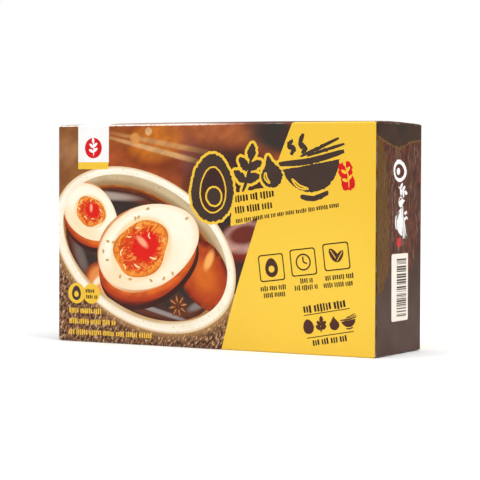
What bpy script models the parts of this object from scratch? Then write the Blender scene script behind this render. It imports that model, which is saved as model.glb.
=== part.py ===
"""A shut folding carton of printed paperboard, standing on its long narrow side.

Four panels make a tube along X. Each small end is closed by a flap that is hinged on the back
panel, covers the end and is tucked in behind the front panel, over the dust flaps of the top and
bottom panels. The carton is full and shut, so it is one solid without a hollow.

Metres, +Z up. The front panel faces -Y, and the origin is the middle of the base.
"""

import math

import bmesh
import bpy

# Driving dimensions
LENGTH = 0.208
DEPTH = 0.058
HEIGHT = 0.127
BOARD = 0.0005

# Creases and cut edges
FOLD_RADIUS = 0.0010
TUCK_RADIUS = 0.0012
TUCK_GAP = 0.0004
TUCK_SLOT_DEPTH = 0.0022
FRONT_EDGE_INSET = 0.0002
CLOSURE_INSET = 0.0013
SEAM_GAP = 0.0003
SEAM_DEPTH = 0.0005

# How far the full carton pushes its panels out, the base excepted. The top panel keeps a share of
# its crown at both ends, and is highest nearer the front.
CROWN_TOP = 0.0013
CROWN_FACE = 0.0007
CROWN_END_MARGIN = 0.004
TOP_CROWN_AT_END = 0.55
TOP_LEAN = 0.62

# Smoothness of the mesh
ARC_STEPS = 5
PANEL_STEPS = 10
LENGTH_STEPS = 20

# How far a trimming solid reaches past what it trims
REACH = 0.004

PRINT_BROWN = (0.075, 0.034, 0.022, 1.0)
PRINT_ROUGHNESS = 0.32
FOLD_CREASE_ANGLE = math.radians(24)


def remove_everything():
    for item in list(bpy.data.objects):
        bpy.data.objects.remove(item, do_unlink=True)


def board_material():
    """Varnished, printed paperboard."""
    material = bpy.data.materials.new("printed_board")
    material.use_nodes = True
    shader = material.node_tree.nodes["Principled BSDF"]
    shader.inputs["Base Color"].default_value = PRINT_BROWN
    shader.inputs["Roughness"].default_value = PRINT_ROUGHNESS
    shader.inputs["Metallic"].default_value = 0.0
    return material


def arc(centre, radius, start_deg, end_deg, steps=ARC_STEPS):
    """Points on a circle from one angle to another, both ends included."""
    points = []
    for step in range(steps + 1):
        angle = math.radians(start_deg + (end_deg - start_deg) * step / steps)
        points.append((centre[0] + radius * math.cos(angle), centre[1] + radius * math.sin(angle)))
    return points


def hump(share):
    """1 in the middle of a panel and 0 at both of its edges, share running from 0 to 1."""
    return 4.0 * share * (1.0 - share)


def crown_along(x, at_end=0.0):
    """How much of its crown a panel has at x; at_end is what it keeps near the carton's ends."""
    reach = min(abs(x) / (LENGTH / 2 - CROWN_END_MARGIN), 1.0)
    return at_end + (1.0 - at_end) * (1.0 - reach ** 2) ** 0.7


def section(x):
    """The carton's outline at x, as (y, z) points: four folds with a crowned panel after each."""
    side, low, high = DEPTH / 2 - FOLD_RADIUS, FOLD_RADIUS, HEIGHT - FOLD_RADIUS
    shares = [step / PANEL_STEPS for step in range(1, PANEL_STEPS)]
    face_crown = CROWN_FACE * crown_along(x)
    top_crown = CROWN_TOP * crown_along(x, TOP_CROWN_AT_END)

    outline = arc((side, low), FOLD_RADIUS, -90, 0)
    outline += [(DEPTH / 2 + face_crown * hump(s), low + (high - low) * s) for s in shares]
    outline += arc((side, high), FOLD_RADIUS, 0, 90)
    outline += [(side - 2 * side * s, HEIGHT + top_crown * hump((1 - s) ** TOP_LEAN)) for s in shares]
    outline += arc((-side, high), FOLD_RADIUS, 90, 180)
    outline += [(-DEPTH / 2 - face_crown * hump(s), high - (high - low) * s) for s in shares]
    outline += arc((-side, low), FOLD_RADIUS, 180, 270)
    return outline


def mesh_object(name, mesh_builder):
    """An object whose mesh is written by mesh_builder(bm), with its faces pointing out."""
    bm = bmesh.new()
    mesh_builder(bm)
    bmesh.ops.recalc_face_normals(bm, faces=bm.faces)
    mesh = bpy.data.meshes.new(name)
    bm.to_mesh(mesh)
    bm.free()
    made = bpy.data.objects.new(name, mesh)
    bpy.context.scene.collection.objects.link(made)
    return made


def loft_rings(bm, rings):
    """Bridges rings of equally many points and caps both ends."""
    loops = [[bm.verts.new(point) for point in ring] for ring in rings]
    for near, far in zip(loops, loops[1:]):
        for i in range(len(near)):
            j = (i + 1) % len(near)
            bm.faces.new((near[i], near[j], far[j], far[i]))
    bm.faces.new(loops[0])
    bm.faces.new(loops[-1])


def filled_tube():
    """The four panels and what they hold, a little too long at both ends."""
    end = LENGTH / 2 + REACH
    straight = LENGTH / 2 - CROWN_END_MARGIN
    stations = [-end]
    stations += [-straight + 2 * straight * step / LENGTH_STEPS for step in range(LENGTH_STEPS + 1)]
    stations += [end]
    rings = [[(x, y, z) for y, z in section(x)] for x in stations]
    return mesh_object("carton", lambda bm: loft_rings(bm, rings))


def end_outline():
    """The right end seen from above, from the back to the front: (x, y) points.

    The closing flap's hinge is rounded, its face is flat, and it turns inward at its tuck fold.
    A narrow slot then parts it from the cut edge of the front panel.
    """
    right, back, front = LENGTH / 2, DEPTH / 2, -DEPTH / 2
    tuck_face = front + BOARD + TUCK_GAP
    slot_end = right - TUCK_SLOT_DEPTH

    outline = [(right - FOLD_RADIUS, back + REACH)]
    outline += arc((right - FOLD_RADIUS, back - FOLD_RADIUS), FOLD_RADIUS, 80, 0)
    outline += arc((right - TUCK_RADIUS, tuck_face + TUCK_RADIUS), TUCK_RADIUS, 0, -90)
    outline += [(slot_end, tuck_face), (slot_end, front + BOARD)]
    outline += [(right - FRONT_EDGE_INSET, front + BOARD), (right - FRONT_EDGE_INSET, front - REACH)]
    return outline


def plan_prism():
    """What the carton covers seen from above, with both ends closed, taller than the carton."""
    right_end = end_outline()
    left_end = [(-x, y) for x, y in reversed(right_end)]
    outline = right_end + left_end
    levels = (-REACH, HEIGHT + CROWN_TOP + REACH)
    rings = [[(x, y, z) for x, y in outline] for z in levels]
    return mesh_object("plan_trim", lambda bm: loft_rings(bm, rings))


def flap_step(side, upper):
    """What is missing above, or below, a closing flap: there the dust flap's fold shows.

    side is 1 for the right end and -1 for the left one. The upper fold also takes up the crown
    that the top panel keeps there.
    """
    rise = CROWN_TOP * TOP_CROWN_AT_END if upper else 0.0
    radius = FOLD_RADIUS + rise
    fold_end = LENGTH / 2 - BOARD
    fold_centre = (fold_end - radius, HEIGHT + rise - radius)
    flap_edge = HEIGHT - CLOSURE_INSET
    outline = [(fold_centre[0], HEIGHT + REACH)]
    outline += arc(fold_centre, radius, 80, 0)
    outline += [(fold_end, flap_edge), (LENGTH / 2 + REACH, flap_edge), (LENGTH / 2 + REACH, HEIGHT + REACH)]
    if not upper:
        outline = [(x, HEIGHT - z) for x, z in outline]
    ends = (-DEPTH / 2 + BOARD, DEPTH / 2 + REACH)
    rings = [[(side * x, y, z) for x, z in outline] for y in ends]
    name = f"step_{'right' if side > 0 else 'left'}_{'upper' if upper else 'lower'}"
    return mesh_object(name, lambda bm: loft_rings(bm, rings))


def seam_slit():
    """The slit over the bottom panel's cut edge, where the glued seam runs along the back."""
    reach_out = DEPTH / 2 + REACH
    slit_end = DEPTH / 2 - SEAM_DEPTH
    outline = [
        (slit_end, BOARD),
        (reach_out, BOARD),
        (reach_out, BOARD + SEAM_GAP),
        (slit_end, BOARD + SEAM_GAP),
    ]
    rings = [[(x, y, z) for y, z in outline] for x in (-LENGTH, LENGTH)]
    return mesh_object("seam_slit", lambda bm: loft_rings(bm, rings))


def trim(body, cutter, operation):
    """Adds a Boolean that trims body by cutter, which is then only a guide."""
    cutter.hide_render = True
    cutter.display_type = "WIRE"
    modifier = body.modifiers.new(cutter.name, "BOOLEAN")
    modifier.operation = operation
    modifier.object = cutter
    modifier.solver = "EXACT"


def build_carton():
    carton = filled_tube()
    trim(carton, plan_prism(), "INTERSECT")
    for side in (1, -1):
        for upper in (True, False):
            trim(carton, flap_step(side, upper), "DIFFERENCE")
    trim(carton, seam_slit(), "DIFFERENCE")
    carton.data.materials.append(board_material())
    carton.data.shade_smooth()
    carton.data.set_sharp_from_angle(angle=FOLD_CREASE_ANGLE)
    return carton


remove_everything()
build_carton()
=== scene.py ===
"""The looks of a shut folding carton: printed and varnished board, folded from flat sheets.

Every sheet is drawn flat, in millimetres, with its print as outlines filled with inks. It is then
cut into triangles along those outlines and folded round the carton, so the print runs over the
folds as it does on real board. The flat sheet of the tube has u along the carton's length and v
round it: 0 at the lower front fold, then up the front, over the top and down the back.
"""

import math
import random
from collections import namedtuple

import bpy
import numpy as np
from mathutils import Matrix, Vector
from mathutils.geometry import delaunay_2d_cdt


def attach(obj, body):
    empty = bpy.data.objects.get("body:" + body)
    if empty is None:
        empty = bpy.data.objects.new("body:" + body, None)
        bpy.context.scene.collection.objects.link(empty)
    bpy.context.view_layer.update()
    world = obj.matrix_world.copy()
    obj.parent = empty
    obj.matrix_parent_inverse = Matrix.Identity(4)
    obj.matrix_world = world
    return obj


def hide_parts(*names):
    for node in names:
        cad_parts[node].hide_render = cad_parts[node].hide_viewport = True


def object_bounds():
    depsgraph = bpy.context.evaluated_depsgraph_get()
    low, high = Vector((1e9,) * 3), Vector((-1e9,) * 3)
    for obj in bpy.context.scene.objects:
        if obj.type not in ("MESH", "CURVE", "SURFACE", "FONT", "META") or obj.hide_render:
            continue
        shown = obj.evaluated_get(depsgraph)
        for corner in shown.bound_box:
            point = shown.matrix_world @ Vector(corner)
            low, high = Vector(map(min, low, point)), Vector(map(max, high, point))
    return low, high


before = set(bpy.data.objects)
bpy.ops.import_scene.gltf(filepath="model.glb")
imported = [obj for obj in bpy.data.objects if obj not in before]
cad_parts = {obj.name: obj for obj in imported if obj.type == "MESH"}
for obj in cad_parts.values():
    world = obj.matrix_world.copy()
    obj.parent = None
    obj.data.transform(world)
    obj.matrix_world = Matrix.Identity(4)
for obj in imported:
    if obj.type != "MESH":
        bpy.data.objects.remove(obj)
cad_low, cad_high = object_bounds()

MM = 0.001

# The carton, in millimetres, worked out from the solid that carries it
CROWN_TOP = 1.3
CROWN_FACE = 0.7
LENGTH = (cad_high.x - cad_low.x) / MM
DEPTH = (cad_high.y - cad_low.y) / MM - 2 * CROWN_FACE
HEIGHT = (cad_high.z - cad_low.z) / MM - CROWN_TOP
BOARD = 0.5

# Folds, cut edges and flaps
FOLD_RADIUS = 1.0
TUCK_RADIUS = 1.2
TUCK_GAP = 0.4
TUCK_LENGTH = 14
SEAM_LIFT = 0.8
GLUE_FLAP = 13
GLUE_SLANT = 9
END = LENGTH / 2
FRONT_EDGE = END - 0.2
BACK_EDGE = END - FOLD_RADIUS
DUST_FACE = END - BOARD - 0.1
DUST_ROOT = DUST_FACE - FOLD_RADIUS
DUST_LENGTH = 26
NOTCH = 0.6
CLOSURE_INSET = 0.5
CLOSURE_BULGE = 0.25
TOP_CROWN_AT_END = 0.55
TOP_LEAN = 0.62
CROWN_END_MARGIN = 4
RIPPLE = 0.10

# Where the folds, the picture and the middles of panels lie up the tube's flat sheet, and how far
# the tuck's fold lies from the middle of a closing flap
PICTURE_LOW = -0.5
PICTURE_HIGH = HEIGHT + 2.2
TOP_MIDDLE = HEIGHT + DEPTH / 2
TOP_BACK = HEIGHT + DEPTH
BACK_MIDDLE = TOP_BACK + HEIGHT / 2
BACK_LOW = TOP_BACK + HEIGHT - SEAM_LIFT
TUCK_FOLD = BOARD + TUCK_GAP - DEPTH / 2

# How finely a sheet is divided
GRID_STEP = 8
FOLD_LINES = 5
SAME_POINT = 0.0001

# Names that the sheets and their inks share, and where each side lies on the bake map
SHEET_MAP = "PrintSheet"
BAKE_MAP = "OFBake"
WEAR = "fold_wear"
WEAR_REACH = 1.2
BAKE_ACROSS = (0.002, 0.996)
BAKE_OUTSIDE = (0.002, 0.93)
BAKE_RIM = (0.937, 0.944)
BAKE_INSIDE = (0.95, 0.048)

# The camera: where it stands, which way it looks in degrees, and its lens
CAMERA_PLACE = (0.5404, -0.9248, 0.0984)
CAMERA_YAW = 30.159
CAMERA_PITCH = -2.015
CAMERA_ROLL = 0.182
CAMERA_LENS = 139.4
CAMERA_SENSOR = 36

# Plain inks: an sRGB colour of 0 to 255, how much deeper it gets in spots, and the spots' size
PLAIN_INKS = {
    "title_brown": ((70, 53, 46), 0.9, 12),
    "sign_brown": ((82, 46, 36), 0.9, 8),
    "word_brown": ((52, 28, 20), 0.9, 8),
    "seal_red": ((222, 22, 28), 0.93, 6),
    "tag_white": ((250, 249, 247), 0.97, 14),
    "label_cream": ((252, 240, 224), 0.97, 14),
    "back_ground": ((84, 58, 48), 0.86, 34),
    "end_faint": ((126, 102, 78), 0.62, 3),
    "end_red": ((112, 46, 32), 0.7, 3),
    "end_ochre": ((122, 82, 8), 0.7, 2),
    "yolk_glint": ((255, 226, 168), 0.94, 4),
    "sesame": ((226, 178, 108), 0.86, 1.2),
    "anise": ((124, 62, 30), 0.6, 2),
    "anise_slit": ((214, 146, 84), 0.7, 2),
}
PAPER = (226, 219, 206)


# Outlines on the flat sheet

def placed(points, centre=(0, 0), tilt=0, size=1):
    """Points scaled, turned by tilt degrees and moved to centre."""
    cosine = size * math.cos(math.radians(tilt))
    sine = size * math.sin(math.radians(tilt))
    return [(centre[0] + cosine * x - sine * y, centre[1] + sine * x + cosine * y) for x, y in points]


def box(low, high):
    return [(low[0], low[1]), (high[0], low[1]), (high[0], high[1]), (low[0], high[1])]


def sides(outline):
    """The pairs of neighbouring points round a closed outline."""
    return list(zip(outline, outline[1:] + outline[:1]))


def ellipse(centre, semi, tilt=0, steps=48):
    turns = [2 * math.pi * step / steps for step in range(steps)]
    return placed([(semi[0] * math.cos(a), semi[1] * math.sin(a)) for a in turns], centre, tilt)


def on_oval(centre, semi, tilt, turn, reach):
    """The point turn degrees round an oval, at a share of the way to its edge."""
    angle = math.radians(turn)
    return placed([(semi[0] * reach * math.cos(angle), semi[1] * reach * math.sin(angle))], centre, tilt)[0]


def wavy(centre, semi, tilt, steps=72):
    """An oval with a soft, uneven edge."""
    points = []
    for step in range(steps):
        angle = 2 * math.pi * step / steps
        reach = 1 + 0.05 * math.sin(3 * angle + 0.6) + 0.03 * math.sin(5 * angle + 2)
        points.append((semi[0] * reach * math.cos(angle), semi[1] * reach * math.sin(angle)))
    return placed(points, centre, tilt)


def egg(centre, length, width, tilt=0, steps=56, narrowing=0.13):
    """An egg's outline, its narrower end pointing along tilt."""
    points = []
    for step in range(steps):
        angle = 2 * math.pi * step / steps
        along = math.cos(angle)
        points.append((along * length / 2, math.sin(angle) * (1 - narrowing * along) * width / 2))
    return placed(points, centre, tilt)


def egg_oval(centre, length, width, tilt):
    """The oval round an egg, as its middle, half its size and its tilt."""
    return centre, (length / 2, width / 2), tilt


def rounded_box(centre, width, height, radius, tilt=0, steps=4):
    points = []
    for quarter, (side, level) in enumerate(((1, 1), (-1, 1), (-1, -1), (1, -1))):
        for step in range(steps + 1):
            angle = math.radians(90 * (quarter + step / steps))
            points.append((side * (width / 2 - radius) + radius * math.cos(angle),
                           level * (height / 2 - radius) + radius * math.sin(angle)))
    return placed(points, centre, tilt)


def curve(points, steps=8):
    """A smooth open line through points."""
    ends = [points[0]] + list(points) + [points[-1]]
    line = []
    for corners in zip(ends, ends[1:], ends[2:], ends[3:]):
        for step in range(steps):
            t = step / steps
            line.append(tuple(
                0.5 * (2 * s + (e - b) * t + (2 * b - 5 * s + 4 * e - a) * t ** 2
                       + (3 * s - b - 3 * e + a) * t ** 3)
                for b, s, e, a in zip(*corners)
            ))
    return line + [tuple(points[-1])]


def stroke(points, width, tip=0.35, steps=8):
    """A brush stroke along a smooth line, full in its middle and narrower at both ends."""
    line = curve(points, steps)
    left, right = [], []
    for i, (x, y) in enumerate(line):
        ahead = line[min(i + 1, len(line) - 1)]
        behind = line[max(i - 1, 0)]
        length = math.dist(ahead, behind)
        across = (-(ahead[1] - behind[1]) / length, (ahead[0] - behind[0]) / length)
        share = i / (len(line) - 1)
        half = width / 2 * (tip + (1 - tip) * math.sin(math.pi * share) ** 0.6)
        left.append((x + across[0] * half, y + across[1] * half))
        right.append((x - across[0] * half, y - across[1] * half))
    return left + right[::-1]


def bar(start, stop, width):
    """A straight line of even width."""
    return stroke([start, stop], width, 1, 1)


def evenly(outline, step):
    """The same closed outline with a point at every step along it."""
    points = []
    for start, stop in sides(outline):
        parts = max(1, round(math.dist(start, stop) / step))
        for part in range(parts):
            points.append(tuple(s + (e - s) * part / parts for s, e in zip(start, stop)))
    return points


def grown(outline, amount):
    """A closed outline pushed outward by amount."""
    area = sum(a[0] * b[1] - b[0] * a[1] for a, b in sides(outline))
    push = amount if area > 0 else -amount
    points = []
    for i, (x, y) in enumerate(outline):
        behind, ahead = outline[i - 1], outline[(i + 1) % len(outline)]
        share = push / max(math.dist(behind, ahead), SAME_POINT)
        points.append((x + share * (ahead[1] - behind[1]), y - share * (ahead[0] - behind[0])))
    return points


def roughened(outline, amount, draw, step):
    """A closed outline with the ragged edge of a dry brush."""
    points = evenly(outline, step)
    middle = [sum(p[k] for p in points) / len(points) for k in (0, 1)]
    result = []
    for x, y in points:
        push = draw.uniform(-amount, amount) / max(math.dist((x, y), middle), SAME_POINT)
        result.append((x + (x - middle[0]) * push, y + (y - middle[1]) * push))
    return result


def inside(outline, x, y):
    """Which of the points lie inside a closed outline, by counting crossings."""
    result = np.zeros(len(x), bool)
    for (x0, y0), (x1, y1) in sides(outline):
        if y0 != y1:
            crosses = (y0 > y) != (y1 > y)
            result ^= crosses & (x < (x1 - x0) * (y - y0) / (y1 - y0) + x0)
    return result


class Print:
    """A flat sheet's print: inked outlines, each painted over the ones before it."""

    # A dash's width and the gap after it as shares of a letter, its height and shift as shares of
    # the row's height, and the gap between two groups
    DASH_WIDTH = (0.28, 0.40)
    DASH_GAP = (0.15, 0.22)
    DASH_HEIGHT = (0.66, 0.92)
    DASH_SHIFT = (-0.04, 0.04)
    GROUP_GAP = 0.34

    def __init__(self, seed=0):
        self.areas = []
        self.draw = random.Random(seed)

    def add(self, ink, *outlines, within=None):
        self.areas += [(ink, outline, within) for outline in outlines]

    def add_ragged(self, ink, outline, amount, step, within=None):
        self.add(ink, roughened(outline, amount, self.draw, step), within=within)

    def words(self, ink, start, length, height, tilt=0, letter=2.3):
        """A row of short upright dashes in small groups."""
        at = 0
        while at < length - letter / 2:
            for _ in range(self.draw.randint(3, 6)):
                if at > length:
                    break
                width = letter * self.draw.uniform(*self.DASH_WIDTH)
                level = height * self.draw.uniform(*self.DASH_SHIFT)
                half = height * self.draw.uniform(*self.DASH_HEIGHT) / 2
                self.add(ink, placed(box((at, level - half), (at + width, level + half)), start, tilt))
                at += width + letter * self.draw.uniform(*self.DASH_GAP)
            at += letter * self.GROUP_GAP

    def ink_at(self, x, y, base):
        """The ink at each point."""
        inks = np.full(len(x), base, dtype=object)
        for ink, outline, within in self.areas:
            covered = inside(outline, x, y)
            if within is not None:
                covered &= inside(within, x, y)
            inks[covered] = ink
        return inks


# Brush-drawn signs, and the width of the halo that they may have

TITLE_HALO = 1.6
OPENING_HALO = 0.9
INNER_HALO = 1.1


def sprig(root, tip, leaf_length, leaf_width):
    """A stem with two pairs of leaves and one at its tip, as separate outlines."""
    along = (tip[0] - root[0], tip[1] - root[1])
    turn = math.degrees(math.atan2(along[1], along[0]))
    bend = (root[0] + along[0] * 0.5 + along[1] * 0.06, root[1] + along[1] * 0.5 - along[0] * 0.06)
    parts = [stroke([root, bend, tip], leaf_width * 0.45)]
    leaf = egg((leaf_length / 2, 0), leaf_length, leaf_width, 0, 24)
    for share, lean in ((0.28, 62), (0.34, -58), (0.62, 50), (0.68, -50), (0.94, 6)):
        parts.append(placed(leaf, (root[0] + along[0] * share, root[1] + along[1] * share), turn + lean))
    return parts


def drop(centre, width, height, tilt=0):
    """A falling drop, pointed at its top."""
    half = width / 2
    turns = [math.radians(angle) for angle in range(-200, 21, 12)]
    points = [(half * math.cos(turn), half * math.sin(turn)) for turn in turns]
    flank = curve([points[-1], (half * 0.42, height * 0.36), (0, height - half)], 5)
    points += flank[1:] + [(-x, y) for x, y in flank[1:-1][::-1]]
    return placed(points, centre, tilt)


def bowl_marks(left, right, rim, depth):
    """A bowl: its body, its lip, its foot and two sticks that lie over it."""
    middle, half = (left + right) / 2, (right - left) / 2
    body = [(left, rim - 1)] + curve([
        (left + half * 0.12, rim - depth * 0.42), (left + half * 0.5, rim - depth * 0.86),
        (middle, rim - depth), (right - half * 0.5, rim - depth * 0.86),
        (right - half * 0.12, rim - depth * 0.42), (right, rim + 1)])
    lip = stroke([(left - 2, rim + 2.2), (middle, rim + 2), (right + 3, rim + 5)], 3.6, 0.55)
    foot = stroke([(middle - 8, rim - depth - 1.6), (middle, rim - depth - 3.6),
                   (middle + 9, rim - depth - 1.2)], 3.2, 0.6)
    sticks = [stroke([(middle - 6 + 4 * k, rim + 5), (right + 1 + 3 * k, rim + 12.5 - 3.5 * k)], 1.9, 0.5)
              for k in (0, 1)]
    return [body, lip, foot] + sticks


def title_marks():
    """Signs round a middle of (0, 0): a cut egg, a sprig, a drop and a steaming bowl.

    Each is a kind and an outline; what comes later lies on top.
    """
    draw = random.Random(11)
    marks = [("mark", egg((-34.5, -3.5), 38, 27.5, 84)),
             ("opening", egg((-34.2, -4.6), 26.5, 17.5, 84)),
             ("inner", ellipse((-33.9, -8.4), (4.5, 4.9), 10, 30))]
    marks += [("mark", part) for part in sprig((-15, -7.5), (-8, 10.5), 9.4, 5)]
    marks += [("mark", drop((4.2, -0.5), 13.5, 18.5, 8)),
              ("opening", stroke([(0.6, 1.8), (0.4, -1.6), (2.8, -4.8)], 2.4, 0.2))]
    marks += [("mark", part) for part in bowl_marks(11.5, 46.5, 3, 15)]
    marks.append(("opening", stroke([(16.5, -3.4), (20.5, -8), (26.5, -10.2)], 2.4, 0.2)))
    for left, high in ((17, 17.5), (24, 20.5)):
        wisp = [(left, 9.5), (left + 2.2, 12.2), (left - 0.4, 15.2), (left + 2.2, high)]
        marks.append(("mark", stroke(wisp, 3.2, 0.25)))
    ragged = {"mark": 0.42, "opening": 0.14, "inner": 0.14}
    return [(kind, roughened(outline, ragged[kind], draw, 0.9)) for kind, outline in marks]


def add_title(sheet, centre, tilt, size, mark_ink, back_ink, halo_ink=None):
    """The signs, with a halo round them and along their openings where halo_ink is given."""
    marks = [(kind, placed(outline, centre, tilt, size)) for kind, outline in title_marks()]
    if halo_ink:
        sheet.add(halo_ink, *(grown(outline, TITLE_HALO) for kind, outline in marks if kind == "mark"))
    for kind, outline in marks:
        opening = kind == "opening"
        if halo_ink and kind != "mark":
            sheet.add(halo_ink, outline if opening else grown(outline, INNER_HALO * size))
        if halo_ink and opening:
            outline = grown(outline, -OPENING_HALO * size)
        sheet.add(back_ink if opening else mark_ink, outline)


# The front's picture: cut eggs in a bowl. Bowl and eggs are named here because the inks that
# shade them use the same places: middle, size and tilt.
BOWL_TILT = -24
RIM = ((-45, 55.2), (65.8, 43.4), BOWL_TILT)
RIM_INNER = ((-44.3, 56.4), (59.5, 37.5), BOWL_TILT)
WALL_LINE = ((-46, 53.4), (56.8, 34.2), BOWL_TILT)
BROTH = ((-46.6, 52), (55.2, 32.6), BOWL_TILT)
HALVES = {
    "small": {"egg": ((-81, 76), 42, 31, -34), "yolk": ((-81, 76.5), (10.5, 8.5), -20), "depth": 5},
    "big": {"egg": ((-41, 57), 72, 48, 20), "yolk": ((-45.5, 55.6), (19.5, 15.5), 30), "depth": 8.5},
}
AMBER_EGG = ((-3, 41), 44, 31, -58)
TAN_EGG = ((-67, 33), 38, 25, -28)
ANISE = ((-20.5, 23.5), 6.6)


def add_bowl(sheet):
    """The bowl and what is in it. What lies in the bowl is cut off by its inner rim."""
    draw = random.Random(17)
    mouth = ellipse(*RIM_INNER, 96)
    sheet.add("bowl_rim", ellipse(*RIM, 96))
    sheet.add("bowl_wall", mouth)
    sheet.add("wall_line", ellipse(*WALL_LINE, 96), within=mouth)
    sheet.add("broth", ellipse(*BROTH, 96), within=mouth)
    sheet.add("tan_egg", egg(*TAN_EGG), within=mouth)
    sheet.add("amber_egg", egg(*AMBER_EGG), within=mouth)
    middle, reach = ANISE
    for petal in range(8):
        turn = 45 * petal + 12
        sheet.add("anise", placed(egg((reach * 0.52, 0), reach, 2.7, 0, 16), middle, turn))
        sheet.add("anise_slit", placed(ellipse((reach * 0.6, 0), (2, 0.42), 0, 12), middle, turn))
    for size, half in HALVES.items():
        (x, y), length, width, tilt = half["egg"]
        low = y - half["depth"]
        sheet.add("egg_shade", egg((x + 0.5, low - 2.4), length * 0.98, width * 0.96, tilt), within=mouth)
        sheet.add("egg_side_" + size, egg((x - 0.5, low), length * 0.96, width * 0.94, tilt), within=mouth)
        sheet.add("egg_white_" + size, egg(*half["egg"]), within=mouth)
        sheet.add("yolk_" + size, wavy(*half["yolk"]), within=mouth)
        add_glints(sheet, half["yolk"], draw)
    for _ in range(13):
        spot = on_oval(*egg_oval(*HALVES["big"]["egg"]), draw.uniform(0, 360), draw.uniform(0.72, 0.9))
        sheet.add("sesame", egg(spot, 2.7, 1.6, draw.uniform(0, 360), 12))


def add_glints(sheet, yolk, draw):
    """Small bright curls on a wet yolk."""
    half_length = yolk[1][0]
    for turn in range(20, 380, 45):
        reach = draw.uniform(0.5, 0.86)
        spot = on_oval(*yolk, turn + draw.uniform(-14, 14), reach)
        curl = half_length * draw.uniform(0.07, 0.15)
        bend = draw.uniform(-0.5, 0.5) * curl
        line = placed([(-curl, 0), (0, bend), (curl, 0)], spot, turn + 90 + draw.uniform(-35, 35))
        sheet.add("yolk_glint", stroke(line, curl * 0.42, 0.15, 4))


# The front, the top and the back

# The tag's sides, how far it reaches over the top fold, and its hem
TAG_LEFT = -90
TAG_RIGHT = -68.3
TAG_OVER = 9
HEM_RIGHT = -68.6
HEM = 3.5


def add_badge(sheet):
    """Two overlapping yellow discs, with rows of dashes beside and under them."""
    sheet.add("yellow", ellipse((-91, 28.5), (6.1, 6.1)), ellipse((-80.4, 28.5), (5.9, 5.9)))
    sheet.add("title_brown", egg((-91.2, 28.6), 8.6, 6.4, 90, 28))
    sheet.add("yellow", egg((-91.2, 28), 3.6, 3.2, 90, 18))
    sheet.words("word_brown", (-84.6, 30), 8.4, 2.6, letter=2.4)
    sheet.words("word_brown", (-84.2, 26.6), 7.6, 2.6, letter=2.4)
    for level, length in ((18.2, 25), (12, 32), (5.6, 58)):
        sheet.words("yellow", (-96.4, level), length, 3.7, letter=2.7)


def add_tag(sheet):
    """A white tag with a yellow hem, which hangs over the top fold, with a sprig in a red disc."""
    sheet.add("tag_white", box((TAG_LEFT, 105), (TAG_RIGHT, HEIGHT + TAG_OVER)))
    sheet.add("yellow", box((TAG_LEFT, 101.3), (HEM_RIGHT, 105.4)))
    sheet.add("seal_red", ellipse((-79.2, 113.6), (6, 6)))
    sheet.add("tag_white", *sprig((-79.2, 109), (-79.2, 116.8), 3.5, 1.7))


def add_wedge(sheet):
    """The yellow field on the right, and the ragged strip that joins it under the signs."""
    left = [(7.8, PICTURE_LOW), (13.3, 19.5), (20.3, 41.5), (31.4, 73.5), (45.3, 109),
            (53.6, PICTURE_HIGH)]
    sheet.add("yellow", left + [(END + 1, PICTURE_HIGH), (END + 1, PICTURE_LOW)])
    strip = [(14.6, 88), (14.2, 69.6), (24, 71.6), (33, 74.8), (43, 77.6), (43, 92)]
    sheet.add_ragged("yellow", strip, 0.35, 1.4)
    sheet.words("word_brown", (17, 84.8), 25, 4.6, 7.5, 3.4)
    sheet.words("word_brown", (17, 78.4), 25, 4.6, 7.5, 3.4)
    sheet.words("word_brown", (17.6, 72.4), 66, 2.7, 8.6, 2.2)


def add_icons(sheet):
    """Three small framed signs, an egg, a clock and leaves, with two rows of dashes under each."""
    tilt = 7
    centres = ((40.4, 47.1), (60.2, 50.7), (80.4, 54.3))
    for centre in centres:
        sheet.add("word_brown", rounded_box(centre, 15.9, 15, 1.6, tilt))
        sheet.add("yellow", rounded_box(centre, 14.5, 13.6, 1.2, tilt))
    shell, clock, plant = centres
    sheet.add("sign_brown", egg(shell, 10.6, 8, 97, 36))
    sheet.add("yellow", ellipse((shell[0], shell[1] - 0.8), (1.9, 1.9), 0, 24))
    sheet.add("sign_brown", ellipse(clock, (4.7, 4.7), 0, 40))
    sheet.add("yellow", ellipse(clock, (3.8, 3.8), 0, 40))
    for hand in ((0, 3), (2.2, -1)):
        sheet.add("sign_brown", bar(clock, placed([hand], clock, tilt)[0], 0.9))
    for length, width, turn, shift in ((8.6, 4.4, 128, (-1.6, 0.6)), (7.4, 3.6, 60, (2, 0.2))):
        middle = (plant[0] + shift[0], plant[1] + shift[1])
        sheet.add("sign_brown", egg(middle, length, width, turn, 28))
        sheet.add("yellow", bar(*placed([(-length * 0.4, 0), (length * 0.4, 0)], middle, turn), 0.45))
    for x, y, length in ((33.6, 34.9, 15.6), (35.6, 31.3, 13), (58.4, 40.2, 7.4), (55, 36, 13.6),
                         (73.8, 42.2, 16.4), (72.8, 38, 19.4)):
        sheet.words("word_brown", (x, y), length, 3.3, tilt)


def add_foot_print(sheet):
    """The block at the lower right: small signs between two thin rules, and dashes."""
    tilt = 10.2
    sheet.words("word_brown", (60.4, 24.4), 25, 4.9, tilt, 3.5)
    sheet.add("word_brown", bar((60.6, 21.4), (88.6, 26.4), 0.5))
    signs = [egg((2.9, 0), 8.2, 6.5, 90, 28)]
    signs += sprig((10, -4), (11.2, 1.4), 3.7, 2.3)
    signs.append(drop((18.9, -1.1), 6, 7.8))
    signs += [placed(part, (27.6, -0.6), 0, 0.25) for part in bowl_marks(-17.5, 17.5, 3, 15)]
    for sign in signs:
        sheet.add("sign_brown", placed(roughened(sign, 0.12, sheet.draw, 0.7), (60.6, 14.9), tilt))
    sheet.add("word_brown", bar((62.6, 9), (91, 14.1), 0.5))
    sheet.words("word_brown", (66.2, 6.5), 21, 3.9, tilt, 2.9)


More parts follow.
